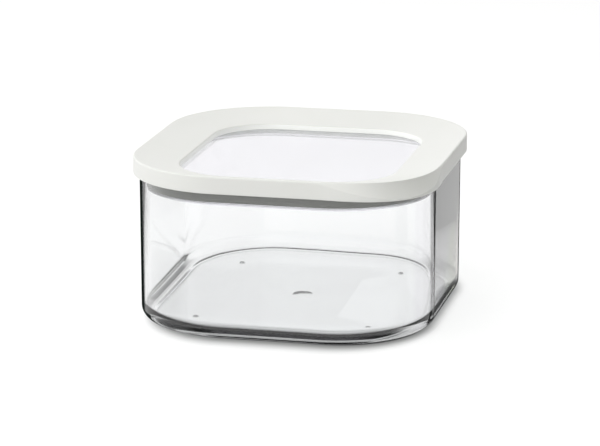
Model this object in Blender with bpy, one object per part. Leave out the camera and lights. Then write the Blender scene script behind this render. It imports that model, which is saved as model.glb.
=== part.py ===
"""Clear cookie box with a lift-off lid.

Four mouldings: a glass-clear container, a white lid frame with a scooped grip
lip on one corner, a clear window tray under the frame, and a sealing ring in
the groove of that tray.

Axes: +Z up, front towards -Y, metres. The origin is in the middle of the plan,
on the surface that the feet stand on. Everything follows one plan outline, a
rounded rectangle: a place on a moulding is given by its distance out from that
outline (negative towards the middle) and by its level. Levels on the container
count from the standing surface, and levels on the lid from the container's rim.
"""
import bpy
import bmesh
from math import cos, pi, radians, sin, tan
from mathutils import Vector

mm = 0.001

# Plan outline: the lid's outer edge.
lid_width = 175.0 * mm
lid_depth = 190.0 * mm
corner_radius = 59.5 * mm

# Container.
container_height = 89.6 * mm     # standing surface to rim
wall = 2.2 * mm
floor_thickness = 2.6 * mm
wall_draft = radians(0.2)        # both faces lean in towards the base
outer_base_radius = 6.6 * mm
inner_base_radius = 8.0 * mm
rim_radius = 0.7 * mm

# Four moulded feet under the floor, and the dimple where the plastic entered.
foot_diameter = 2.8 * mm
foot_height = 0.5 * mm
foot_spread_x = 98.6 * mm
foot_spread_y = 106.0 * mm
gate_diameter = 12.0 * mm
gate_depth = 0.7 * mm
gate_dome_radius = 26.0 * mm

# Lid frame.
skirt_overhang = 3.6 * mm        # lid edge beyond the container's wall
skirt_height = 9.6 * mm
skirt_wall = 2.0 * mm
skin = 2.0 * mm                  # top of the frame
landing_thickness = 3.2 * mm     # where the frame sits over the rim
top_edge_radius = 1.0 * mm
skirt_edge_radius = 0.4 * mm
window_border = 26.3 * mm        # lid edge to window edge
window_drop = 5.3 * mm           # the top dishes down to the window
window_edge_radius = 1.2 * mm
collar_depth = 2.9 * mm          # upright edge round the window, down to the pane
collar_width = 4.4 * mm
hold_rib_wall = 1.6 * mm         # rib that sits in the tray's channel

# Grip lip: takes up the whole front right corner.
lip_reach = 8.9 * mm             # lip beyond the lid edge
crown_reach = 4.5 * mm           # top of the scoop beyond the lid edge
lip_edge = 1.0 * mm              # upright edge left under the scoop
scoop_hollow = 0.8 * mm

# Window tray: flat pane in a plug, with a channel for the frame's rib and a groove for the
# sealing ring.
pane_thickness = 2.0 * mm
plug_wall = 1.6 * mm
plug_root_radius = 0.8 * mm      # plug wall to pane, underneath
groove_wall = 1.2 * mm           # between the channel and the groove
channel_floor = 1.5 * mm
plug_rim_drop = 3.2 * mm         # top of the plug below the container's rim
plug_rim_thickness = 1.5 * mm
plug_bead = 1.5 * mm
plug_edge_radius = 0.4 * mm

# Sealing ring.
seal_height = 6.9 * mm
seal_thickness = 1.8 * mm
seal_crown = 0.5 * mm            # the outer face bulges by this much

# Clearances.
rim_gap = 0.3 * mm               # container rim to lid landing
joint_gap = 0.3 * mm             # between the parts of the lid
seal_gap = 0.3 * mm              # sealing ring to container wall
plug_clearance = 1.0 * mm        # plug to container wall
cut_overrun = 1.0 * mm

# Divisions of the curved stretches.
corner_steps = 12
lip_steps = 30
fillet_steps = 4
scoop_steps = 7
seal_steps = 6
round_steps = 20
gate_steps = 28

# Levels on the lid, from the container's rim.
lid_top = rim_gap + landing_thickness
skirt_bottom = lid_top - skirt_height
window_edge = lid_top - window_drop
collar_bottom = window_edge - collar_depth
pane_top = collar_bottom - joint_gap
pane_bottom = pane_top - pane_thickness
groove_top = -plug_rim_drop - plug_rim_thickness
groove_bottom = groove_top - seal_height - 2 * joint_gap
plug_bottom = groove_bottom - plug_bead
channel_bottom = plug_bottom + channel_floor

# Distances in from the lid edge.
inner_face = skirt_overhang + wall
narrowest_face = inner_face + tan(wall_draft) * -groove_bottom
seal_face = narrowest_face + seal_gap
seal_back = seal_face + seal_thickness
groove_floor = seal_back + joint_gap
plug_outer = narrowest_face + plug_clearance
channel_outer = groove_floor + groove_wall
hold_rib_outer = channel_outer + joint_gap
hold_rib_inner = hold_rib_outer + hold_rib_wall
channel_inner = hold_rib_inner + joint_gap
plug_inner = channel_inner + plug_wall
collar_outer = window_border - collar_width


def clear_scene():
    """Remove whatever objects the open file holds."""
    for thing in list(bpy.data.objects):
        bpy.data.objects.remove(thing, do_unlink=True)


def plastic(name, colour, roughness, clear=False, ior=1.49):
    """Principled material of one plastic."""
    material = bpy.data.materials.new(name)
    material.use_nodes = True
    shader = material.node_tree.nodes["Principled BSDF"]
    shader.inputs["Base Color"].default_value = (*colour, 1.0)
    shader.inputs["Metallic"].default_value = 0.0
    shader.inputs["Roughness"].default_value = roughness
    shader.inputs["IOR"].default_value = ior
    shader.inputs["Transmission Weight"].default_value = 1.0 if clear else 0.0
    return material


def bump(bearing, power):
    """Smooth hill over the grip corner: 1 on its bisector, 0 at its two ends."""
    place = (bearing - pi / 4) / (pi / 4)
    if abs(place) >= 1:
        return 0.0
    return (1 - place * place) ** power


def plan_stations():
    """Stations round the plan, anticlockwise from the front's right end.

    Each is the centre of its corner arc, the outward direction there, and its
    bearing along the grip corner, or None on the other three corners.
    """
    centre_x = lid_width / 2 - corner_radius
    centre_y = lid_depth / 2 - corner_radius
    corners = [(1, -1), (1, 1), (-1, 1), (-1, -1)]
    stations = []
    for number, (side_x, side_y) in enumerate(corners):
        steps = lip_steps if number == 0 else corner_steps
        for step in range(steps + 1):
            turned = step * pi / 2 / steps
            bearing = turned - pi / 2 + number * pi / 2
            outward = Vector((cos(bearing), sin(bearing)))
            centre = Vector((side_x * centre_x, side_y * centre_y))
            stations.append((centre, outward, turned if number == 0 else None))
    return stations


def add_object(name, mesh_builder, material, parent=None):
    """Finish a bmesh as a named object, smooth but for its sharp edges."""
    bmesh.ops.recalc_face_normals(mesh_builder, faces=mesh_builder.faces)
    mesh = bpy.data.meshes.new(name)
    mesh_builder.to_mesh(mesh)
    mesh_builder.free()
    mesh.shade_smooth()
    mesh.set_sharp_from_angle(angle=radians(32))
    thing = bpy.data.objects.new(name, mesh)
    bpy.context.scene.collection.objects.link(thing)
    thing.parent = parent
    if material:
        mesh.materials.append(material)
    return thing


def loft(name, section, material, parent=None, capped=False):
    """Carry a section round the plan.

    section(bearing) lists the section's (distance out, level) points. A capped
    loft closes its first and last rings with flat faces, and any other loft
    closes each section on itself.
    """
    builder = bmesh.new()
    rings = []
    for centre, outward, bearing in plan_stations():
        ring = []
        for out, level in section(bearing):
            place = centre + outward * (corner_radius + out)
            ring.append(builder.verts.new((place.x, place.y, level)))
        rings.append(ring)
    points = len(rings[0])
    spans = points - 1 if capped else points
    for index, ring in enumerate(rings):
        following = rings[(index + 1) % len(rings)]
        for point in range(spans):
            above = (point + 1) % points
            builder.faces.new((ring[point], following[point], following[above], ring[above]))
    if capped:
        builder.faces.new([ring[0] for ring in rings])
        builder.faces.new([ring[-1] for ring in rings])
    return add_object(name, builder, material, parent)


def fillet(out, level, radius, start, end, steps=fillet_steps):
    """Arc of a section about (out, level), from one angle to another in degrees."""
    arc = []
    for step in range(steps + 1):
        angle = radians(start + (end - start) * step / steps)
        arc.append((out + radius * cos(angle), level + radius * sin(angle)))
    return arc


def container_section(bearing):
    """Floor, inner wall, rounded rim, outer wall and rounded base edge."""
    floor_top = foot_height + floor_thickness
    lean = tan(wall_draft)
    rim_out = -skirt_overhang
    rim_in = -inner_face

    def wall_at(out, level):
        return out - lean * (container_height - level)

    inner_centre = wall_at(rim_in, floor_top + inner_base_radius) - inner_base_radius
    outer_centre = wall_at(rim_out, foot_height + outer_base_radius) - outer_base_radius
    rim_level = container_height - rim_radius
    section = fillet(inner_centre, floor_top + inner_base_radius, inner_base_radius, -90, 0)
    section += fillet(rim_in + rim_radius, rim_level, rim_radius, 180, 90)
    section += fillet(rim_out - rim_radius, rim_level, rim_radius, 90, 0)
    section += fillet(outer_centre, foot_height + outer_base_radius, outer_base_radius, 0, -90)
    return section


def disc_form(name, diameter, bottom, top, place, sides):
    """Upright round form that joins or cuts, not a piece of its own."""
    builder = bmesh.new()
    bmesh.ops.create_cone(builder, cap_ends=True, segments=sides,
                          radius1=diameter / 2, radius2=diameter / 2, depth=top - bottom)
    bmesh.ops.translate(builder, verts=builder.verts,
                        vec=(place[0], place[1], (bottom + top) / 2))
    return hide_form(add_object(name, builder, None))


def hide_form(form):
    """Keep a joining or cutting form out of the model."""
    form.hide_render = True
    form.display_type = "WIRE"
    return form


def gate_form(name):
    """Cutter of the dimple under the floor: a round pocket with a domed top."""
    builder = bmesh.new()
    radius = gate_diameter / 2
    crown = gate_dome_radius - (gate_dome_radius ** 2 - radius ** 2) ** 0.5
    rings = []
    levels = [(radius, foot_height - cut_overrun), (radius, foot_height + gate_depth - crown)]
    for step in range(1, fillet_steps):
        reach = radius * (1 - step / fillet_steps)
        rise = (gate_dome_radius ** 2 - reach ** 2) ** 0.5 - gate_dome_radius
        levels.append((reach, foot_height + gate_depth + rise))
    for reach, level in levels:
        ring = []
        for side in range(gate_steps):
            angle = 2 * pi * side / gate_steps
            ring.append(builder.verts.new((reach * cos(angle), reach * sin(angle), level)))
        rings.append(ring)
    for lower, upper in zip(rings, rings[1:]):
        for side in range(gate_steps):
            after = (side + 1) % gate_steps
            builder.faces.new((lower[side], lower[after], upper[after], upper[side]))
    builder.faces.new(rings[0])
    builder.faces.new(rings[-1])
    return hide_form(add_object(name, builder, None))


def combine(target, form, operation):
    """Join or cut with a form."""
    modifier = target.modifiers.new(form.name, "BOOLEAN")
    modifier.operation = operation
    modifier.solver = "EXACT"
    modifier.object = form


def build_container(material):
    """Box with a thin even wall, on four small feet."""
    container = loft("container", container_section, material, capped=True)
    inside_floor = foot_height + floor_thickness / 2
    for number, (side_x, side_y) in enumerate([(-1, -1), (1, -1), (1, 1), (-1, 1)], 1):
        place = (side_x * foot_spread_x / 2, side_y * foot_spread_y / 2)
        foot = disc_form(f"foot_form_{number}", foot_diameter, 0, inside_floor, place, round_steps)
        combine(container, foot, "UNION")
    combine(container, gate_form("gate_form"), "DIFFERENCE")
    return container


def dish_level(out):
    """Level of the frame's top: an even slope from the lid edge to the window."""
    outer_end = -top_edge_radius
    inner_end = window_edge_radius - window_border
    return lid_top - window_drop * (outer_end - out) / (outer_end - inner_end)


def frame_section(bearing):
    """Skirt, scoop or rounded edge, dished top, collar, and the ribbed underside."""
    reach = 0.0 if bearing is None else bump(bearing, 2)
    fall = 0.0 if bearing is None else bump(bearing, 1.5)
    lip_out = lip_reach * reach
    crown_out = crown_reach * reach
    lip_fall = (skirt_height - top_edge_radius - lip_edge) * fall

    section = [(lip_out - skirt_edge_radius, skirt_bottom),
               (lip_out, skirt_bottom + skirt_edge_radius)]
    edge = fillet(-top_edge_radius, lid_top - top_edge_radius, top_edge_radius, 0, 90, scoop_steps)
    for step, (out, level) in enumerate(edge):
        up = step / scoop_steps
        hollow = scoop_hollow * reach * 4 * up * (1 - up)
        shift = lip_out * (1 - up) + crown_out * up - hollow
        section.append((out + shift, level - lip_fall * (1 - up)))

    section += fillet(window_edge_radius - window_border, window_edge - window_edge_radius,
                      window_edge_radius, 90, 180)
    section += [(-window_border, collar_bottom),
                (-collar_outer, collar_bottom),
                (-collar_outer, dish_level(-collar_outer) - skin),
                (-hold_rib_inner, dish_level(-hold_rib_inner) - skin),
                (-hold_rib_inner, channel_bottom + joint_gap),
                (-hold_rib_outer, channel_bottom + joint_gap),
                (-hold_rib_outer, joint_gap - plug_rim_drop),
                (-plug_outer, joint_gap - plug_rim_drop),
                (-plug_outer, rim_gap),
                (crown_out - skirt_wall, rim_gap),
                (lip_out - skirt_wall, skirt_bottom)]
    return section


def window_section(bearing):
    """Pane, channel, plug wall up to its rim, groove, bead, and back under the pane."""
    section = [(-channel_inner, pane_top),
               (-channel_inner, channel_bottom),
               (-channel_outer, channel_bottom),
               (-channel_outer, -plug_rim_drop),
               (-plug_outer, -plug_rim_drop),
               (-plug_outer, groove_top),
               (-groove_floor, groove_top),
               (-groove_floor, groove_bottom),
               (-plug_outer, groove_bottom)]
    section += fillet(-plug_outer - plug_edge_radius, plug_bottom + plug_edge_radius,
                      plug_edge_radius, 0, -90, 2)
    section += fillet(-plug_inner + plug_edge_radius, plug_bottom + plug_edge_radius,
                      plug_edge_radius, -90, -180, 2)
    section += fillet(-plug_inner - plug_root_radius, pane_bottom - plug_root_radius,
                      plug_root_radius, 0, 90, 2)
    return section


def seal_section(bearing):
    """Flat back in the groove, crowned face towards the container wall."""
    bottom = groove_bottom + joint_gap
    top = groove_top - joint_gap
    section = [(-seal_back, bottom)]
    for step in range(seal_steps + 1):
        across = step / seal_steps
        sag = seal_crown * (2 * across - 1) ** 2
        section.append((-seal_face - sag, bottom + (top - bottom) * across))
    section.append((-seal_back, top))
    return section


def build_lid(white, clear, rubber):
    """Frame, window tray and sealing ring, which lift off together along +Z."""
    lid = bpy.data.objects.new("lid_lift_axis", None)
    lid.location = (0, 0, container_height)
    bpy.context.scene.collection.objects.link(lid)
    loft("lid_frame", frame_section, white, lid)
    loft("lid_window", window_section, clear, lid, capped=True)
    loft("sealing_ring", seal_section, rubber, lid)


def main():
    clear_scene()
    clear = plastic("clear_plastic", (0.97, 0.98, 0.975), 0.02, clear=True, ior=1.57)
    white = plastic("white_plastic", (0.84, 0.84, 0.81), 0.35)
    rubber = plastic("grey_rubber", (0.30, 0.31, 0.29), 0.5)
    build_container(clear)
    build_lid(white, clear, rubber)


main()
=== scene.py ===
"""Clear cookie box with a white-framed lid, on a white studio floor.

The four mouldings of the frame are replaced by fine, smooth surfaces of the
same sizes, so that the clear plastic bends light as the real box does. Every
surface is a section carried round one plan outline, a rounded rectangle. A
place on a section is its distance out from the lid's edge (negative towards the
middle) and its level above the floor, both in metres.
"""

import bpy
import numpy as np
from math import cos, pi, radians, sin, tan
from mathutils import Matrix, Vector


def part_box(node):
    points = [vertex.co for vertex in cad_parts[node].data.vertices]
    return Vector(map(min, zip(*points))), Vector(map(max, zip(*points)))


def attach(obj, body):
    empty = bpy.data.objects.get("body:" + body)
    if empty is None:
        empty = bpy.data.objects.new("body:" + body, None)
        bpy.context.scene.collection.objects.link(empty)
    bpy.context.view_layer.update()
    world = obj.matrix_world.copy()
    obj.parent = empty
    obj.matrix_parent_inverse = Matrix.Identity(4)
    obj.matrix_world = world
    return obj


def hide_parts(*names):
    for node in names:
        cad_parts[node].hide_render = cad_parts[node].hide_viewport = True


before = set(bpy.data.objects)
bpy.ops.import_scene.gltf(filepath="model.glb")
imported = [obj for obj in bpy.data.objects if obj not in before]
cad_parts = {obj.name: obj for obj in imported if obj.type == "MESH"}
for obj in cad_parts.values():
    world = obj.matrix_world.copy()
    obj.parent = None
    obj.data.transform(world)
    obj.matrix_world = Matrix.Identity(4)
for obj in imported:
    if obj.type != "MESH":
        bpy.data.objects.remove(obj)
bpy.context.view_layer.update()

mm = 0.001

# Sizes that the frame gives: the lid's plain sides, the rim, and the lid's parts.
lid_low, lid_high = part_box("lid_frame")
can_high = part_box("container")[1]
tray_low, tray_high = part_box("lid_window")
seal_low, seal_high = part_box("sealing_ring")
half_width = -lid_low[0]
half_depth = lid_high[1]
rim_level = can_high[2]
lid_top = lid_high[2]
plug_top = tray_high[2]
plug_bottom = tray_low[2]
seal_bottom = seal_low[2]
seal_top = seal_high[2]
skirt_overhang = half_width - can_high[0]
plug_outer = half_width - tray_high[0]
seal_face = half_width - seal_high[0]

# Sizes that a box can't give.
corner_radius = 59.5 * mm
joint_gap = 0.3 * mm

wall = 2.2 * mm
floor_thickness = 2.6 * mm
wall_draft = radians(0.2)
outer_base_radius = 6.6 * mm
inner_base_radius = 8.0 * mm
rim_radius = 0.7 * mm
foot_height = 0.5 * mm
foot_radius = 1.4 * mm
foot_x = 49.3 * mm
foot_y = 53.0 * mm
gate_radius = 6.0 * mm
gate_depth = 0.7 * mm
gate_dome_radius = 26.0 * mm

skirt_height = 9.6 * mm
skirt_wall = 2.0 * mm
skin = 2.0 * mm
top_edge_radius = 1.0 * mm
skirt_edge_radius = 0.4 * mm
window_border = 26.3 * mm
window_drop = 5.3 * mm
window_edge_radius = 1.2 * mm
collar_depth = 2.9 * mm
collar_width = 4.4 * mm
hold_rib_wall = 1.6 * mm
seat_gap = 0.05 * mm             # collar to pane, which it is pressed on

lip_reach = 8.9 * mm
crown_reach = 4.5 * mm
lip_edge = 1.0 * mm
scoop_hollow = 0.8 * mm

pane_thickness = 2.0 * mm
plug_wall = 1.6 * mm
plug_root_radius = 0.8 * mm
groove_wall = 1.2 * mm
channel_floor = 1.5 * mm
plug_rim_thickness = 1.5 * mm
plug_edge_radius = 0.4 * mm
seal_thickness = 1.8 * mm
seal_crown = 0.5 * mm

# Levels and distances that follow.
skirt_bottom = lid_top - skirt_height
window_edge = lid_top - window_drop
collar_bottom = window_edge - collar_depth
pane_top = collar_bottom - joint_gap
pane_bottom = pane_top - pane_thickness
groove_top = plug_top - plug_rim_thickness
groove_bottom = seal_bottom - joint_gap
groove_floor = seal_face + seal_thickness + joint_gap
channel_bottom = plug_bottom + channel_floor
channel_outer = groove_floor + groove_wall
hold_rib_outer = channel_outer + joint_gap
hold_rib_inner = hold_rib_outer + hold_rib_wall
channel_inner = hold_rib_inner + joint_gap
plug_inner = channel_inner + plug_wall
collar_outer = window_border - collar_width

# Camera, found by fitting the photograph's outlines.
camera_turn = radians(13.04)
camera_rise = radians(14.13)
camera_distance = 1.6537
camera_lens = 173.65             # mm, on a sensor camera_sensor mm wide
camera_sensor = 36.0
camera_target = Vector((-1.6, 0.0, 45.8)) * mm

# Divisions.
corner_steps = 48
lip_steps = 96
arc_steps = 10
scoop_steps = 26
outer_base_steps = 20
inner_base_steps = 16
plug_edge_steps = 6
seal_steps = 16
foot_sides = 36
gate_rings = (1.0, 1.0, 0.85, 0.7, 0.55, 0.4, 0.25, 0.1)  # shares of its radius, inwards
flat_strip = 1.0 * mm            # flat ring between a section's end and the cap on it

# Folds that stay crisp, in degrees.
sharp_fold = 35.0
frame_fold = 14.0
seal_fold = 50.0

# Patterns of the materials.
flow_scale = 28.0                # flow marks in the clear plastic, about 36 mm apart
flow_height = 0.2 * mm
stress_drift = 30 * mm           # how far the flow pushes the stress colours along y
cloud_scale = 40.0               # cloudy tint of the white, about 25 mm apart
grain_size = 0.6 * mm            # real blasting is finer, and wouldn't show
grain_height = 0.05 * mm
seal_cloud_scale = 60.0          # cloudy tint of the ring, about 17 mm apart

# Looks of clear plastic at its edges, with painted shade for the camera. A surface faces away
# by 0 square on, and 1 edge on.
steep_first = 0.80               # from here the colour turns grey green
# painted shade: nearly edge on, the camera sees a plain dark grey in place of what the wall would
# bend
limb_first, limb_full = 0.84, 0.93
limb_sooner_left = 0.13          # how much sooner the dark edge begins on the front left
limb_sooner_right = 0.10         # and on the back right corner
painted_glow_strength = 0.26              # strength of the painted glow that brightens the window's upright edge

# Stress colours on the right wall, over the place y in mm.
stress_hues = [(-20.0, "f4f3f6"), (1.25, "ebe8ef"), (18.25, "e3e9e0"), (35.25, "e0e6c8"),
               (49.7, "e4d5cf"), (65.0, "dadad2")]

# The paper as the clear base shows it: brightness over the distance in from the edge, in
# mm. At the back, at the front and left where the edge bends light away, and on the right.
back_levels = [(0.0, 0.93), (6.0, 0.83), (18.0, 0.83), (32.0, 0.87), (44.0, 0.77)]
front_levels = [(-10.0, 0.93), (-4.0, 0.20), (-1.0, 0.04), (2.0, 0.02), (4.5, 0.01),
                (7.0, 0.01), (8.6, 0.0), (12.2, 0.01), (13.0, 0.60), (13.8, 0.50),
                (14.6, 0.10), (16.4, 0.60), (32.0, 0.85), (44.0, 0.77)]
right_levels = [(-9.0, 0.93), (-5.0, 0.30), (0.0, 0.08), (3.0, 0.12), (6.0, 0.75),
                (32.0, 0.87)]

# The shade around the box goes from the first outline to the second. Each is given by the
# half axes of its corners in x and y, and both are a little off the middle.
shade_outlines = [(48.1 * mm, 50.4 * mm), (58.2 * mm, 71.3 * mm)]
shade_middle = (2.6 * mm, 0.5 * mm, 0.0)
shade_level = 0.27

# A black card stands far off behind on the right, and hides these azimuths, in degrees
# from +Y towards +X, as seen from the wall beside it.
card_wall = (84.0 * mm, -60.0 * mm, 0.0)
card_first, card_last = 11.0, 23.0
card_fade = 4.0
card_light = 0.12                # the share of light that still comes from there

paper_tone = 0.55                # what the paper reflects, and what it shines by itself
paper_glow = 0.59


# --- surfaces ---

def plan_stations():
    """Stations round the rounded rectangle, anticlockwise from the front right corner.

    Each corner is an arc of corner_radius: centre, plus the outward direction
    (cos b, sin b) for a bearing b that turns through a quarter. The straight
    sides join the arcs. Also gives the place along the grip corner, -1 to 1 and
    0 on its bisector, and 1 on the other corners.
    """
    centre_x = half_width - corner_radius
    centre_y = half_depth - corner_radius
    centres, outwards, places = [], [], []
    for number, (side_x, side_y) in enumerate([(1, -1), (1, 1), (-1, 1), (-1, -1)]):
        steps = lip_steps if number == 0 else corner_steps
        turned = np.linspace(0, pi / 2, steps + 1)
        bearing = turned + (number - 1) * pi / 2
        outwards.append(np.stack([np.cos(bearing), np.sin(bearing)], axis=1))
        centres.append(np.tile([side_x * centre_x, side_y * centre_y], (steps + 1, 1)))
        places.append(turned / (pi / 4) - 1 if number == 0 else np.ones(steps + 1))
    return np.concatenate(centres), np.concatenate(outwards), np.concatenate(places)


CENTRES, OUTWARDS, PLACES = plan_stations()


def carry(out, level):
    """Points of a section carried round the plan: centre + outward * (radius + out)."""
    out = np.broadcast_to(out, (len(CENTRES), np.shape(out)[-1]))
    level = np.broadcast_to(level, out.shape)
    flat = CENTRES[:, None] + OUTWARDS[:, None] * (corner_radius + out)[..., None]
    return np.concatenate([flat, level[..., None]], axis=2)


def grid_faces(rows, columns, closed):
    """Quads of a grid whose rows close on themselves, and whose columns do if closed."""
    index = np.arange(rows * columns).reshape(rows, columns)
    onward = np.roll(index, -1, axis=0)
    if closed:
        quads = [index, onward, np.roll(onward, -1, axis=1), np.roll(index, -1, axis=1)]
    else:
        quads = [index[:, :-1], onward[:, :-1], onward[:, 1:], index[:, 1:]]
    return np.stack(quads, axis=-1).reshape(-1, 4)


def add_piece(name, points, quads, caps=()):
    """A named mesh object from points, quads, and flat caps given as rows of point numbers."""
    faces = [tuple(quad) for quad in quads.tolist()] + [tuple(cap) for cap in caps]
    mesh = bpy.data.meshes.new(name)
    mesh.from_pydata(points.reshape(-1, 3).tolist(), [], faces)
    mesh.update()
    piece = bpy.data.objects.new(name, mesh)
    bpy.context.scene.collection.objects.link(piece)
    return piece


def add_ring(name, points, closed):
    """A piece from a section carried round the plan. The section either closes on itself,
    or has a flat cap on its first and last rings."""
    rows, columns = points.shape[:2]
    number = np.arange(rows * columns).reshape(rows, columns)
    caps = () if closed else [number[::-1, 0], number[:, -1]]
    return add_piece(name, points, grid_faces(rows, columns, closed), caps)


def smooth(piece, fold):
    """Round surfaces shade smooth, and folds sharper than the angle stay crisp."""
    piece.data.shade_smooth()
    piece.data.set_sharp_from_angle(angle=radians(fold))


def arc(out, level, radius, start, end, steps=arc_steps):
    """Arc of a section about (out, level), between two angles in degrees."""
    angle = np.radians(np.linspace(start, end, steps + 1))
    return np.stack([out + radius * np.cos(angle), level + radius * np.sin(angle)], axis=1)


def wall_point(out, level):
    """How far out the container's wall is at a level, as it leans in towards the base."""
    return out - tan(wall_draft) * (rim_level - level)


def container_piece():
    """Glass-clear box: one closed skin from the dimple under the floor to the floor inside.

    The section runs out along the underside, round the base edge, up the outer
    wall, over the rim and down inside. Under the floor its rings shrink from
    the plan outline to a circle, and on down a dimple of depth
    gate_depth - (R - sqrt(R^2 - r^2)). Four round feet are joined on.
    """
    base_level = foot_height + outer_base_radius
    floor_top = foot_height + floor_thickness
    inner_level = floor_top + inner_base_radius
    outer_centre = wall_point(-skirt_overhang, base_level) - outer_base_radius
    inner_centre = wall_point(-skirt_overhang - wall, inner_level) - inner_base_radius
    rim_middle = rim_level - rim_radius
    walls = np.concatenate([
        [(outer_centre - flat_strip, foot_height)],
        arc(outer_centre, base_level, outer_base_radius, -90, 0, outer_base_steps),
        arc(-skirt_overhang - rim_radius, rim_middle, rim_radius, 0, 90),
        arc(-skirt_overhang - wall + rim_radius, rim_middle, rim_radius, 90, 180),
        arc(inner_centre, inner_level, inner_base_radius, 0, -90, inner_base_steps),
        [(inner_centre - flat_strip, floor_top)],
    ])
    skin_points = carry(walls[:, 0], walls[:, 1])

    radius = gate_radius * np.array(gate_rings)
    crown = gate_dome_radius - np.sqrt(gate_dome_radius ** 2 - radius ** 2)
    level = foot_height + gate_depth - crown
    level[0] = foot_height
    outline = skin_points[:, 0, :2]
    bearing = outline / np.linalg.norm(outline, axis=1, keepdims=True)
    dimple = np.concatenate([
        bearing[:, None] * radius[None, :, None],
        np.broadcast_to(level[None, :, None], (len(bearing), len(radius), 1)),
    ], axis=2)
    points = np.concatenate([dimple[:, ::-1], skin_points], axis=1)
    piece = add_ring("container_body", points, False)
    join_feet(piece)
    smooth(piece, sharp_fold)
    return piece


def join_feet(piece):
    """Join four short round feet to the underside, and keep the result as one mesh."""
    turn = np.linspace(0, 2 * pi, foot_sides, endpoint=False)
    ring = np.stack([np.cos(turn), np.sin(turn)], axis=1) * foot_radius
    points, quads, caps = [], [], []
    for count, (side_x, side_y) in enumerate([(-1, -1), (1, -1), (1, 1), (-1, 1)]):
        flat = ring + np.array([side_x * foot_x, side_y * foot_y])
        low = np.column_stack([flat, np.zeros(foot_sides)])
        high = np.column_stack([flat, np.full(foot_sides, foot_height + floor_thickness / 2)])
        points.append(np.stack([low, high], axis=1).reshape(-1, 3))
        first = count * 2 * foot_sides
        quads.append(grid_faces(foot_sides, 2, False) + first)
        number = first + np.arange(2 * foot_sides).reshape(foot_sides, 2)
        caps += [number[::-1, 0], number[:, 1]]
    feet = add_piece("feet_form", np.concatenate(points), np.concatenate(quads), caps)
    modifier = piece.modifiers.new("feet", "BOOLEAN")
    modifier.operation = "UNION"
    modifier.solver = "EXACT"
    modifier.object = feet
    scene_graph = bpy.context.evaluated_depsgraph_get()
    joined = bpy.data.meshes.new_from_object(piece.evaluated_get(scene_graph))
    piece.modifiers.clear()
    piece.data = joined
    bpy.data.objects.remove(feet, do_unlink=True)


def frame_piece():
    """White lid frame: skirt, rounded edge or scoop, dished top, collar, ribbed underside.

    Over the grip corner, with u from -1 to 1 along it, the lip stands out by
    lip_reach * (1 - u^2)^2, the top's edge by crown_reach * (1 - u^2)^2, and the
    foot of the scoop falls by (1 - u^2)^1.5. Between the two the surface passes
    evenly from one to the other, less a shallow hollow 4 t (1 - t).
    """
    hill = np.clip(1 - PLACES ** 2, 0, 1)[:, None]
    reach, fall = hill ** 2, hill ** 1.5
    deepest = lid_top - skirt_bottom - top_edge_radius - lip_edge

    def rows(points, lip=0.0, crown=0.0, down=0.0, hollow=0.0):
        """Section points with their shares of the lip, crown, fall and hollow."""
        shares = [np.broadcast_to(share, len(points)) for share in (lip, crown, down, hollow)]
        return np.column_stack([points, *shares])

    def dish(out):
        """Level of the top, which falls evenly from its edge to the window's edge."""
        span = window_border - window_edge_radius - top_edge_radius
        return lid_top - window_drop * (-top_edge_radius - out) / span

    up = np.linspace(0, 1, scoop_steps + 1)
    edge = arc(-top_edge_radius, lid_top - top_edge_radius, top_edge_radius, 0, 90, scoop_steps)
    rib_bottom = plug_top + joint_gap
    seat = pane_top + seat_gap
    landing = rim_level + joint_gap
    section = np.concatenate([
        rows(arc(-skirt_edge_radius, skirt_bottom + skirt_edge_radius,
                 skirt_edge_radius, -90, 0), lip=1.0),
        rows(edge, lip=1 - up, crown=up, down=1 - up, hollow=4 * up * (1 - up)),
        rows(arc(window_edge_radius - window_border, window_edge - window_edge_radius,
                 window_edge_radius, 90, 180)),
        rows(np.array([(-window_border, seat),
                       (-collar_outer, seat),
                       (-collar_outer, dish(-collar_outer) - skin),
                       (-hold_rib_inner, dish(-hold_rib_inner) - skin),
                       (-hold_rib_inner, channel_bottom + joint_gap),
                       (-hold_rib_outer, channel_bottom + joint_gap),
                       (-hold_rib_outer, rib_bottom),
                       (-plug_outer, rib_bottom),
                       (-plug_outer, landing)])),
        rows(np.array([(-skirt_wall, landing)]), crown=1.0),
        rows(np.array([(-skirt_wall, skirt_bottom)]), lip=1.0),
    ])
    out, level, lip, crown, down, hollow = section.T
    out = out + reach * (lip_reach * lip + crown_reach * crown - scoop_hollow * hollow)
    level = level - deepest * fall * down
    piece = add_ring("lid_frame_shell", carry(out, level), True)
    smooth(piece, frame_fold)
    return piece


def window_piece():
    """Clear window tray: flat pane, plug wall, channel, groove and bead, one closed skin.

    The section runs from under the pane down the plug wall, round the bead, up
    past the groove, over the rim, through the channel and up to the top of the pane.
    """
    section = np.concatenate([
        [(-plug_inner - plug_root_radius - flat_strip, pane_bottom)],
        arc(-plug_inner - plug_root_radius, pane_bottom - plug_root_radius,
            plug_root_radius, 90, 0),
        arc(-plug_inner + plug_edge_radius, plug_bottom + plug_edge_radius,
            plug_edge_radius, 180, 270, plug_edge_steps),
        arc(-plug_outer - plug_edge_radius, plug_bottom + plug_edge_radius,
            plug_edge_radius, -90, 0, plug_edge_steps),
        [(-plug_outer, groove_bottom), (-groove_floor, groove_bottom),
         (-groove_floor, groove_top), (-plug_outer, groove_top),
         (-plug_outer, plug_top), (-channel_outer, plug_top),
         (-channel_outer, channel_bottom), (-channel_inner, channel_bottom),
         (-channel_inner, pane_top), (-channel_inner - flat_strip, pane_top)],
    ])
    piece = add_ring("window_tray", carry(section[:, 0], section[:, 1]), False)
    smooth(piece, sharp_fold)
    return piece


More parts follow.
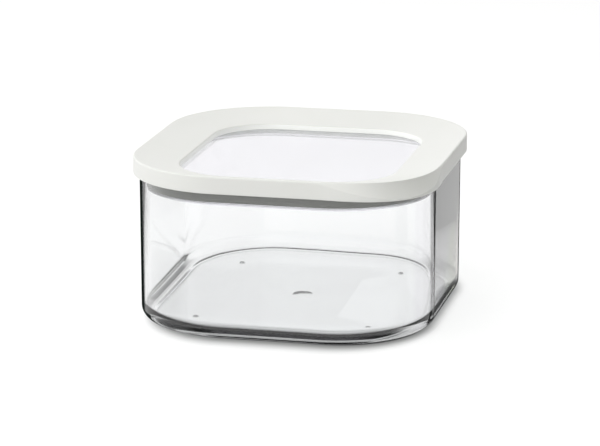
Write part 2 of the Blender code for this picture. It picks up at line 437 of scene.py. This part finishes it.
def seal_piece():
    """Grey sealing ring: flat back, and an outer face crowned by a parabola."""
    across = np.linspace(0, 1, seal_steps + 1)
    face = np.column_stack([-seal_face - seal_crown * (2 * across - 1) ** 2,
                            seal_bottom + (seal_top - seal_bottom) * across])
    back = -seal_face - seal_thickness
    section = np.concatenate([[(back, seal_bottom)], face, [(back, seal_top)]])
    piece = add_ring("seal_band", carry(section[:, 0], section[:, 1]), True)
    smooth(piece, seal_fold)
    return piece


# --- materials ---

def colour(hex_code):
    """An sRGB colour such as "d8dad2" as linear red, green, blue and alpha 1."""
    value = np.array([int(hex_code[i:i + 2], 16) for i in (0, 2, 4)]) / 255
    linear = np.where(value <= 0.04045, value / 12.92, ((value + 0.055) / 1.055) ** 2.4)
    return (*linear.tolist(), 1.0)


def add_node(tree, kind, links=(), **settings):
    """A node with its settings, its inputs' values as in_NAME or in_NUMBER, and its links,
    each an input's name or number with the socket that feeds it."""
    node = tree.nodes.new(kind)
    for key, value in settings.items():
        if key.startswith("in_"):
            label = key[3:].replace("_", " ")
            node.inputs[int(label) if label.isdigit() else label].default_value = value
        else:
            setattr(node, key, value)
    for name, socket in links:
        tree.links.new(socket, node.inputs[name])
    return node


def new_material(name):
    """An empty node material and its output."""
    material = bpy.data.materials.new(name)
    material.use_nodes = True
    tree = material.node_tree
    tree.nodes.clear()
    return material, tree, tree.nodes.new("ShaderNodeOutputMaterial")


def tones_along(tree, distance, stops):
    """A colour that runs evenly through stops, each a place in mm and the colour there."""
    first, last = stops[0][0], stops[-1][0]
    share = add_node(tree, "ShaderNodeMapRange", [("Value", distance)],
                     in_From_Min=first * mm, in_From_Max=last * mm)
    ramp = add_node(tree, "ShaderNodeValToRGB", [(0, share.outputs["Result"])])
    elements = ramp.color_ramp.elements
    for place, _ in stops[1:-1]:
        elements.new((place - first) / (last - first))
    for element, (_, tone) in zip(elements, stops):
        element.color = tone
    return ramp.outputs["Color"]


def clear_san(name, thin, thick):
    """Styrene acrylonitrile, injection moulded in a polished mould: hard, glass-clear, very
    glossy, barely wavy from the flow, with pastel stress colours on the right wall.

    At a steep angle the camera sees its colour turn grey green: partly the plastic's tint, as
    the view runs along inside the wall, and partly painted shade that darkens the steep walls.
    Nearly edge on the camera sees a painted dark grey edge in place of what the wall would
    bend, and this painted shade begins sooner on the front left corner and on the back right
    one. Shadows and the light for matt surfaces go straight through.
    """
    material, tree, output = new_material(name)
    place = add_node(tree, "ShaderNodeTexCoord").outputs["Object"]
    sides = add_node(tree, "ShaderNodeSeparateXYZ", [(0, place)])
    rays = add_node(tree, "ShaderNodeLightPath")
    facing = add_node(tree, "ShaderNodeLayerWeight", in_Blend=0.5).outputs["Facing"]
    flow = add_node(tree, "ShaderNodeTexNoise", [("Vector", place)],
                    in_Scale=flow_scale, in_Detail=2.0).outputs["Fac"]
    waves = add_node(tree, "ShaderNodeBump", [("Height", flow)],
                     in_Strength=0.02, in_Distance=flow_height)
    plain = add_node(tree, "ShaderNodeMix", [("Factor", flow)], data_type="RGBA",
                     in_A=colour(thin), in_B=colour(thick))

    right_wall = add_node(tree, "ShaderNodeMapRange", [("Value", sides.outputs["X"])],
                          interpolation_type="SMOOTHSTEP", in_From_Min=half_width - 12 * mm,
                          in_From_Max=half_width - 9 * mm).outputs["Result"]
    drift = add_node(tree, "ShaderNodeMath", [(0, flow), (2, sides.outputs["Y"])],
                     operation="MULTIPLY_ADD", in_1=stress_drift)
    hues = tones_along(tree, drift.outputs[0], [(y, colour(hue)) for y, hue in stress_hues])
    strained = add_node(tree, "ShaderNodeMath",
                        [(0, right_wall), (1, rays.outputs["Is Camera Ray"])],
                        operation="MULTIPLY")
    tint = add_node(tree, "ShaderNodeMix",
                    [("Factor", strained.outputs[0]), ("A", plain.outputs["Result"]),
                     ("B", hues)], data_type="RGBA")

    # partly the plastic's tint, partly painted shade: for the camera, steep walls turn towards
    # dark grey green
    tint_and_painted_shade = add_node(tree, "ShaderNodeMapRange", [("Value", facing)],
                     interpolation_type="SMOOTHSTEP", in_From_Min=steep_first, in_From_Max=1.0)
    tint_and_painted_shade = add_node(tree, "ShaderNodeMath",
                     [(0, tint_and_painted_shade.outputs["Result"]), (1, rays.outputs["Is Camera Ray"])],
                     operation="MULTIPLY")
    body = add_node(tree, "ShaderNodeMix",
                    [("Factor", tint_and_painted_shade.outputs[0]), ("A", tint.outputs["Result"])],
                    data_type="RGBA", in_B=colour("343c30"))
    plastic = add_node(tree, "ShaderNodeBsdfPrincipled",
                       [("Base Color", body.outputs["Result"]),
                        ("Normal", waves.outputs["Normal"])],
                       in_Roughness=0.0, in_IOR=1.57, in_Transmission_Weight=1.0)

    # where the painted dark edge begins sooner: the front left corner and the back right one
    left = add_node(tree, "ShaderNodeMapRange", [("Value", sides.outputs["X"])],
                    in_From_Min=-half_width + 25 * mm, in_From_Max=-half_width + 15 * mm,
                    in_To_Min=0.0, in_To_Max=limb_sooner_left)
    front = add_node(tree, "ShaderNodeMapRange", [("Value", sides.outputs["Y"])],
                     in_From_Min=-33 * mm, in_From_Max=-40 * mm)
    behind = add_node(tree, "ShaderNodeMapRange", [("Value", sides.outputs["Y"])],
                      in_From_Min=38 * mm, in_From_Max=46 * mm,
                      in_To_Min=0.0, in_To_Max=limb_sooner_right)
    turned = add_node(tree, "ShaderNodeMath",
                      [(0, left.outputs["Result"]), (1, front.outputs["Result"]),
                       (2, facing)], operation="MULTIPLY_ADD")
    turned = add_node(tree, "ShaderNodeMath",
                      [(0, right_wall), (1, behind.outputs["Result"]),
                       (2, turned.outputs[0])], operation="MULTIPLY_ADD")
    # painted shade: nearly edge on, the camera sees a plain dark grey in place of what the wall
    # would bend
    painted_dark_edge = add_node(tree, "ShaderNodeMapRange", [("Value", turned.outputs[0])],
                    interpolation_type="SMOOTHSTEP", in_From_Min=limb_first,
                    in_From_Max=limb_full)
    painted_dark_edge = add_node(tree, "ShaderNodeMath",
                    [(0, painted_dark_edge.outputs["Result"]), (1, rays.outputs["Is Camera Ray"])],
                    operation="MULTIPLY")
    seen = add_node(tree, "ShaderNodeMix", [("Factor", painted_dark_edge.outputs[0])], data_type="RGBA",
                    in_A=colour("f4f5f5"), in_B=colour("4c5754"))
    through = add_node(tree, "ShaderNodeBsdfTransparent", [("Color", seen.outputs["Result"])])

    passes = add_node(tree, "ShaderNodeMath", [(0, rays.outputs["Is Shadow Ray"]),
                                               (1, rays.outputs["Is Diffuse Ray"])],
                      operation="MAXIMUM")
    share = add_node(tree, "ShaderNodeMath", [(0, passes.outputs[0]), (1, painted_dark_edge.outputs[0])],
                     operation="MAXIMUM")
    mix = add_node(tree, "ShaderNodeMixShader", [(0, share.outputs[0]), (1, plastic.outputs[0]),
                                                 (2, through.outputs[0])])
    tree.links.new(mix.outputs[0], output.inputs["Surface"])
    return material


def white_pp(name):
    """Polypropylene, injection moulded in a finely blasted mould: opaque warm white, satin,
    with a very fine grain that only softens the highlights.

    The window's upright edge carries a faint painted glow that brightens its shade: below the
    rounded edge, where the larger of |x| / width and |y| / depth of the window, half a
    millimetre wider all round, is under 1.
    """
    material, tree, output = new_material(name)
    place = add_node(tree, "ShaderNodeTexCoord").outputs["Object"]
    grain = add_node(tree, "ShaderNodeTexNoise", [("Vector", place)],
                     in_Scale=1 / grain_size, in_Detail=3.0).outputs["Fac"]
    cloud = add_node(tree, "ShaderNodeTexNoise", [("Vector", place)],
                     in_Scale=cloud_scale, in_Detail=2.0).outputs["Fac"]
    bump = add_node(tree, "ShaderNodeBump", [("Height", grain)],
                    in_Strength=0.06, in_Distance=grain_height)
    tint = add_node(tree, "ShaderNodeMix", [("Factor", cloud)], data_type="RGBA",
                    in_A=colour("ecede8"), in_B=colour("efefec"))
    gloss = add_node(tree, "ShaderNodeMapRange", [("Value", grain)],
                     in_To_Min=0.30, in_To_Max=0.40)

    # painted glow: the window's upright edge shines faintly by itself, brightening its shade
    height = add_node(tree, "ShaderNodeSeparateXYZ", [(0, place)]).outputs["Z"]
    below = add_node(tree, "ShaderNodeMapRange", [("Value", height)],
                     interpolation_type="SMOOTHSTEP", in_From_Min=window_edge - 0.2 * mm,
                     in_From_Max=window_edge - 0.9 * mm)
    window = (half_width - window_border + 0.5 * mm, half_depth - window_border + 0.5 * mm, 1.0)
    plan = add_node(tree, "ShaderNodeVectorMath", [(0, place)], operation="DIVIDE", in_1=window)
    plan = add_node(tree, "ShaderNodeVectorMath", [(0, plan.outputs[0])], operation="ABSOLUTE")
    plan = add_node(tree, "ShaderNodeSeparateXYZ", [(0, plan.outputs[0])])
    within = add_node(tree, "ShaderNodeMath", [(0, plan.outputs["X"]), (1, plan.outputs["Y"])],
                      operation="MAXIMUM")
    within = add_node(tree, "ShaderNodeMath", [(0, within.outputs[0])], operation="LESS_THAN",
                      in_1=1.0)
    painted_glow = add_node(tree, "ShaderNodeMath", [(0, below.outputs["Result"]),
                                               (1, within.outputs[0])], operation="MULTIPLY")
    plastic = add_node(tree, "ShaderNodeBsdfPrincipled",
                       [("Base Color", tint.outputs["Result"]),
                        ("Roughness", gloss.outputs["Result"]),
                        ("Normal", bump.outputs["Normal"]),
                        ("Emission Color", painted_glow.outputs[0])],
                       in_IOR=1.49, in_Emission_Strength=painted_glow_strength)
    tree.links.new(plastic.outputs[0], output.inputs["Surface"])
    return material


def grey_tpe(name):
    """Thermoplastic elastomer, moulded: soft, smoky grey, slightly dull."""
    material, tree, output = new_material(name)
    place = add_node(tree, "ShaderNodeTexCoord").outputs["Object"]
    cloud = add_node(tree, "ShaderNodeTexNoise", [("Vector", place)],
                     in_Scale=seal_cloud_scale, in_Detail=3.0).outputs["Fac"]
    tint = add_node(tree, "ShaderNodeMix", [("Factor", cloud)], data_type="RGBA",
                    in_A=colour("6c6d67"), in_B=colour("74756f"))
    rubber = add_node(tree, "ShaderNodeBsdfPrincipled", [("Base Color", tint.outputs["Result"])],
                      in_Roughness=0.45, in_IOR=1.5)
    tree.links.new(rubber.outputs[0], output.inputs["Surface"])
    return material


# --- light and paper of the studio ---

def bent_light(tree):
    """1 for rays that clear plastic bends or mirrors, else 0."""
    rays = add_node(tree, "ShaderNodeLightPath")
    return add_node(tree, "ShaderNodeMath", [(0, rays.outputs["Is Glossy Ray"]),
                                             (1, rays.outputs["Is Transmission Ray"])],
                    operation="MAXIMUM").outputs[0]


def card_shade(tree, place, seen_from):
    """How much light comes from a place or direction past the black card, 1 or near 0.

    The azimuth atan2(x, y) from seen_from is between the card's two edges, which fade, and
    on the paper the card's shade sets in some way off.
    """
    seen = add_node(tree, "ShaderNodeVectorMath", [(0, place)], operation="SUBTRACT",
                    in_1=seen_from)
    axes = add_node(tree, "ShaderNodeSeparateXYZ", [(0, seen.outputs[0])])
    turn = add_node(tree, "ShaderNodeMath", [(0, axes.outputs["X"]), (1, axes.outputs["Y"])],
                    operation="ARCTAN2")
    before = add_node(tree, "ShaderNodeMapRange", [("Value", turn.outputs[0])],
                      interpolation_type="SMOOTHSTEP", in_From_Min=radians(card_first),
                      in_From_Max=radians(card_first + card_fade),
                      in_To_Min=1.0, in_To_Max=card_light)
    after = add_node(tree, "ShaderNodeMapRange", [("Value", turn.outputs[0])],
                     interpolation_type="SMOOTHSTEP",
                     in_From_Min=radians(card_last - card_fade),
                     in_From_Max=radians(card_last), in_To_Min=card_light, in_To_Max=1.0)
    away = add_node(tree, "ShaderNodeVectorMath", [(0, seen.outputs[0])], operation="LENGTH")
    near = add_node(tree, "ShaderNodeMapRange", [("Value", away.outputs["Value"])],
                    interpolation_type="SMOOTHSTEP", in_From_Min=10 * mm,
                    in_From_Max=45 * mm, in_To_Min=1.0, in_To_Max=0.0)
    past = add_node(tree, "ShaderNodeMath", [(0, before.outputs["Result"]),
                                             (1, after.outputs["Result"])],
                    operation="MAXIMUM")
    return add_node(tree, "ShaderNodeMath", [(0, past.outputs[0]),
                                             (1, near.outputs["Result"])],
                    operation="MAXIMUM").outputs[0]


def beyond_corners(tree, place):
    """How far a place lies out past the middles of the corner arcs, in x and y, or 0."""
    side = add_node(tree, "ShaderNodeVectorMath", [(0, place)], operation="ABSOLUTE")
    past = add_node(tree, "ShaderNodeVectorMath", [(0, side.outputs[0])],
                    operation="SUBTRACT",
                    in_1=(half_width - corner_radius, half_depth - corner_radius, 1.0))
    return add_node(tree, "ShaderNodeVectorMath", [(0, past.outputs[0])],
                    operation="MAXIMUM", in_1=(0.0, 0.0, 0.0)).outputs[0]


def shade_beside(tree, place):
    """Brightness of the open paper: dark under the box's edge, shaded beside it, else 1.

    A place's share of the way between the two outlines is (n - 1) / (n - f), where n and f
    are its distances in half axes of the near and of the far outline.
    """
    shifted = add_node(tree, "ShaderNodeVectorMath", [(0, place)], operation="SUBTRACT",
                       in_1=shade_middle)
    past = beyond_corners(tree, shifted.outputs[0])
    distances = []
    for half_axes in shade_outlines:
        scaled = add_node(tree, "ShaderNodeVectorMath", [(0, past)], operation="DIVIDE",
                          in_1=(*half_axes, 1.0))
        distances.append(add_node(tree, "ShaderNodeVectorMath", [(0, scaled.outputs[0])],
                                  operation="LENGTH").outputs["Value"])
    near, far = distances
    above = add_node(tree, "ShaderNodeMath", [(0, near)], operation="SUBTRACT", in_1=1.0)
    span = add_node(tree, "ShaderNodeMath", [(0, near), (1, far)], operation="SUBTRACT")
    share = add_node(tree, "ShaderNodeMath", [(0, above.outputs[0]), (1, span.outputs[0])],
                     operation="DIVIDE")
    shade = add_node(tree, "ShaderNodeMapRange", [("Value", share.outputs[0])],
                     interpolation_type="SMOOTHSTEP", in_To_Min=shade_level, in_To_Max=1.0)
    contact = add_node(tree, "ShaderNodeMapRange", [("Value", share.outputs[0])],
                       interpolation_type="SMOOTHSTEP", in_From_Min=-0.15, in_From_Max=0.08,
                       in_To_Min=0.05, in_To_Max=1.0)
    return add_node(tree, "ShaderNodeMath", [(0, shade.outputs["Result"]),
                                             (1, contact.outputs["Result"])],
                    operation="MULTIPLY").outputs[0]


def paper_through_base(tree, place, reach, out):
    """Brightness of the paper as the clear base shows it, with painted shade under the four feet.

    It follows the distance in from the plan outline, with one run of levels at the back,
    one on the right, and one at the front and left, which is narrower where the edge turns
    away from the front.
    """
    def greys(distance, levels):
        """Grey over a distance, from places in mm and levels."""
        return tones_along(tree, distance,
                           [(at, (level, level, level, 1.0)) for at, level in levels])

    side = add_node(tree, "ShaderNodeVectorMath", [(0, place)], operation="SIGN")
    outward = add_node(tree, "ShaderNodeVectorMath", [(0, reach), (1, side.outputs[0])],
                       operation="MULTIPLY")
    bearing = add_node(tree, "ShaderNodeVectorMath", [(0, outward.outputs[0])],
                       operation="NORMALIZE")
    faced = add_node(tree, "ShaderNodeVectorMath", [(0, bearing.outputs[0])],
                     operation="DOT_PRODUCT", in_1=(-0.3, -0.95, 0.0))
    front_left = add_node(tree, "ShaderNodeMapRange", [("Value", faced.outputs["Value"])],
                          interpolation_type="SMOOTHSTEP", in_From_Min=-0.1, in_From_Max=0.45)
    axes = add_node(tree, "ShaderNodeSeparateXYZ", [(0, bearing.outputs[0])])
    right = add_node(tree, "ShaderNodeMapRange", [("Value", axes.outputs["X"])],
                     interpolation_type="SMOOTHSTEP", in_From_Min=0.5, in_From_Max=0.9)
    width = add_node(tree, "ShaderNodeMapRange", [("Value", axes.outputs["Y"])],
                     in_From_Min=-0.2, in_From_Max=-0.8, in_To_Min=0.35, in_To_Max=1.0)

    inset = add_node(tree, "ShaderNodeMath", [(1, out)], operation="SUBTRACT",
                     in_0=corner_radius).outputs[0]
    scaled = add_node(tree, "ShaderNodeMath", [(0, inset), (1, width.outputs["Result"])],
                      operation="DIVIDE").outputs[0]
    tone = add_node(tree, "ShaderNodeMix", [("Factor", right.outputs["Result"]),
                                            ("A", greys(inset, back_levels)),
                                            ("B", greys(inset, right_levels))],
                    data_type="RGBA")
    tone = add_node(tree, "ShaderNodeMix", [("Factor", front_left.outputs["Result"]),
                                            ("A", tone.outputs["Result"]),
                                            ("B", greys(scaled, front_levels))],
                    data_type="RGBA")

    # painted shade: the paper darkens under each foot, as seen through the clear base
    quarter = add_node(tree, "ShaderNodeVectorMath", [(0, place)], operation="ABSOLUTE")
    aside = add_node(tree, "ShaderNodeVectorMath", [(0, quarter.outputs[0])],
                     operation="DISTANCE", in_1=(foot_x, foot_y, 0.0))
    painted_foot_shade = add_node(tree, "ShaderNodeMapRange", [("Value", aside.outputs["Value"])],
                    interpolation_type="SMOOTHSTEP", in_From_Min=foot_radius,
                    in_From_Max=1.6 * foot_radius, in_To_Min=0.15, in_To_Max=1.0)
    return add_node(tree, "ShaderNodeVectorMath", [(0, tone.outputs["Result"]),
                                                   ("Scale", painted_foot_shade.outputs["Result"])],
                    operation="SCALE").outputs[0]


def floor_white(name):
    """Seamless white studio paper, matt. It shines a little by itself, so that it is white
    with no more light on the box. Seen directly it carries the box's soft shade. Seen through
    clear plastic it is dark in a band under the edge, from where the plastic bends the light
    away, and in the shade of the black card."""
    material, tree, output = new_material(name)
    place = add_node(tree, "ShaderNodeTexCoord").outputs["Object"]
    rays = add_node(tree, "ShaderNodeLightPath")
    bent = bent_light(tree)
    reach = beyond_corners(tree, place)
    out = add_node(tree, "ShaderNodeVectorMath", [(0, reach)], operation="LENGTH").outputs["Value"]

    soft = add_node(tree, "ShaderNodeMix", [("Factor", rays.outputs["Is Diffuse Ray"]),
                                            ("A", shade_beside(tree, place))],
                    data_type="FLOAT", in_B=0.85)
    level = add_node(tree, "ShaderNodeMix",
                     [("Factor", bent), ("A", soft.outputs["Result"]),
                      ("B", paper_through_base(tree, place, reach, out))], data_type="RGBA")
    carded = add_node(tree, "ShaderNodeMix",
                      [("Factor", bent), ("B", card_shade(tree, place, card_wall))],
                      data_type="FLOAT", in_A=1.0)
    shown = add_node(tree, "ShaderNodeVectorMath", [(0, level.outputs["Result"]),
                                                    ("Scale", carded.outputs["Result"])],
                     operation="SCALE")

    inside = add_node(tree, "ShaderNodeMapRange", [("Value", out)],
                      in_From_Min=corner_radius - 8 * mm, in_From_Max=corner_radius,
                      in_To_Min=0.95, in_To_Max=0.25)
    glow = add_node(tree, "ShaderNodeMix", [("Factor", rays.outputs["Is Diffuse Ray"]),
                                            ("B", inside.outputs["Result"])],
                    data_type="FLOAT", in_A=paper_glow)
    lit = add_node(tree, "ShaderNodeEmission", [("Color", shown.outputs[0]),
                                                ("Strength", glow.outputs["Result"])])
    tone = add_node(tree, "ShaderNodeVectorMath", [(0, shown.outputs[0])],
                    operation="SCALE", in_Scale=paper_tone)
    paper = add_node(tree, "ShaderNodeBsdfDiffuse", [("Color", tone.outputs[0])])
    both = add_node(tree, "ShaderNodeAddShader", [(0, paper.outputs[0]), (1, lit.outputs[0])])
    tree.links.new(both.outputs[0], output.inputs["Surface"])
    return material


# --- the object ---

def finish_piece(piece, material, node, body):
    """Give a piece its material, and let it stand for its node and ride on its body."""
    piece.data.materials.clear()
    piece.data.materials.append(material)
    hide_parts(node)
    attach(piece, body)


def build_object():
    """The four mouldings with their finishes."""
    finish_piece(container_piece(), clear_san("san_clear_container", "fdfdfe", "feffff"),
                 "container", "container")
    finish_piece(frame_piece(), white_pp("polypropylene_white_satin"),
                 "lid_frame", "lid")
    finish_piece(window_piece(), clear_san("san_clear_window", "f2f1f6", "f4f3f7"),
                 "lid_window", "lid")
    finish_piece(seal_piece(), grey_tpe("elastomer_grey"),
                 "sealing_ring", "lid")


# --- the studio ---

def build_floor():
    """A wide white floor, level with the feet."""
    size = 6.0
    corners = np.array([[-1, -1, 0], [1, -1, 0], [1, 1, 0], [-1, 1, 0]]) * size
    floor = add_piece("studio_floor", corners, np.array([[0, 1, 2, 3]]))
    floor.data.materials.append(floor_white("studio_paper_white"))


def build_world():
    """The studio: a white backdrop behind, and a dim room in front and at the sides.

    The backdrop fades in with the direction's y and weakens towards the right. The room is
    lighter on the left, and dimmer as plastic bends or mirrors it. Clear plastic also shows
    the black card. The camera itself sees plain white.
    """
    world = bpy.data.worlds.new("studio_room")
    bpy.context.scene.world = world
    world.use_nodes = True
    tree = world.node_tree
    tree.nodes.clear()
    output = tree.nodes.new("ShaderNodeOutputWorld")
    way = add_node(tree, "ShaderNodeTexCoord").outputs["Generated"]
    axes = add_node(tree, "ShaderNodeSeparateXYZ", [(0, way)])
    bent = bent_light(tree)
    behind = add_node(tree, "ShaderNodeMapRange", [("Value", axes.outputs["Y"])],
                      interpolation_type="SMOOTHSTEP", in_From_Min=0.15, in_From_Max=0.6)
    ends = add_node(tree, "ShaderNodeMapRange", [("Value", axes.outputs["X"])],
                    interpolation_type="SMOOTHSTEP", in_From_Min=0.45, in_From_Max=0.85,
                    in_To_Min=1.0, in_To_Max=0.3)
    backdrop = add_node(tree, "ShaderNodeMath", [(0, behind.outputs["Result"]),
                                                 (1, ends.outputs["Result"])],
                        operation="MULTIPLY")
    left = add_node(tree, "ShaderNodeMapRange", [("Value", axes.outputs["X"])],
                    in_From_Min=0.8, in_From_Max=-1.0)
    room = add_node(tree, "ShaderNodeMix", [("Factor", left.outputs["Result"])],
                    data_type="RGBA", in_A=colour("4c4e45"), in_B=colour("c8c8c8"))
    dim = add_node(tree, "ShaderNodeMapRange", [("Value", bent)], in_To_Min=1.0, in_To_Max=0.35)
    room = add_node(tree, "ShaderNodeVectorMath", [(0, room.outputs["Result"]),
                                                   ("Scale", dim.outputs["Result"])],
                    operation="SCALE")
    level = add_node(tree, "ShaderNodeMix", [("Factor", backdrop.outputs[0]),
                                             ("A", room.outputs[0])],
                     data_type="RGBA", in_B=colour("ffffff"))
    carded = add_node(tree, "ShaderNodeMix",
                      [("Factor", bent), ("B", card_shade(tree, way, (0.0, 0.0, 0.0)))],
                      data_type="FLOAT", in_A=1.0)
    level = add_node(tree, "ShaderNodeVectorMath", [(0, level.outputs["Result"]),
                                                    ("Scale", carded.outputs["Result"])],
                     operation="SCALE")
    rays = add_node(tree, "ShaderNodeLightPath")
    seen = add_node(tree, "ShaderNodeMix", [("Factor", rays.outputs["Is Camera Ray"]),
                                            ("A", level.outputs[0])],
                    data_type="RGBA", in_B=colour("ffffff"))
    light = add_node(tree, "ShaderNodeBackground", [("Color", seen.outputs["Result"])])
    tree.links.new(light.outputs[0], output.inputs["Surface"])


def add_lamp(name, place, size, watts, aim=(0.0, 0.0, 0.05)):
    """A square soft box that points at the box."""
    data = bpy.data.lights.new(name, "AREA")
    data.shape = "SQUARE"
    data.size = size
    data.energy = watts
    lamp = bpy.data.objects.new(name, data)
    lamp.location = place
    lamp.rotation_euler = (Vector(aim) - Vector(place)).to_track_quat("-Z", "Y").to_euler()
    bpy.context.scene.collection.objects.link(lamp)


def build_camera():
    """The photograph's view: long lens, from the front and a little to the right, above."""
    data = bpy.data.cameras.new("camera")
    data.lens = camera_lens
    data.sensor_width = camera_sensor
    back = Vector((sin(camera_turn) * cos(camera_rise),
                   -cos(camera_turn) * cos(camera_rise), sin(camera_rise)))
    camera = bpy.data.objects.new("camera", data)
    camera.location = camera_target + back * camera_distance
    camera.rotation_euler = (-back).to_track_quat("-Z", "Y").to_euler()
    bpy.context.scene.collection.objects.link(camera)
    bpy.context.scene.camera = camera


def main():
    build_object()
    build_floor()
    build_world()
    add_lamp("soft_box_above", (-0.3, 0.2, 1.6), 1.4, 5.0)
    add_lamp("soft_box_left", (-1.5, -0.4, 0.9), 1.2, 6.5)
    add_lamp("soft_box_front", (-0.2, -1.5, 1.4), 2.4, 23.0)
    build_camera()
    bpy.context.scene.view_settings.view_transform = "Standard"


main()
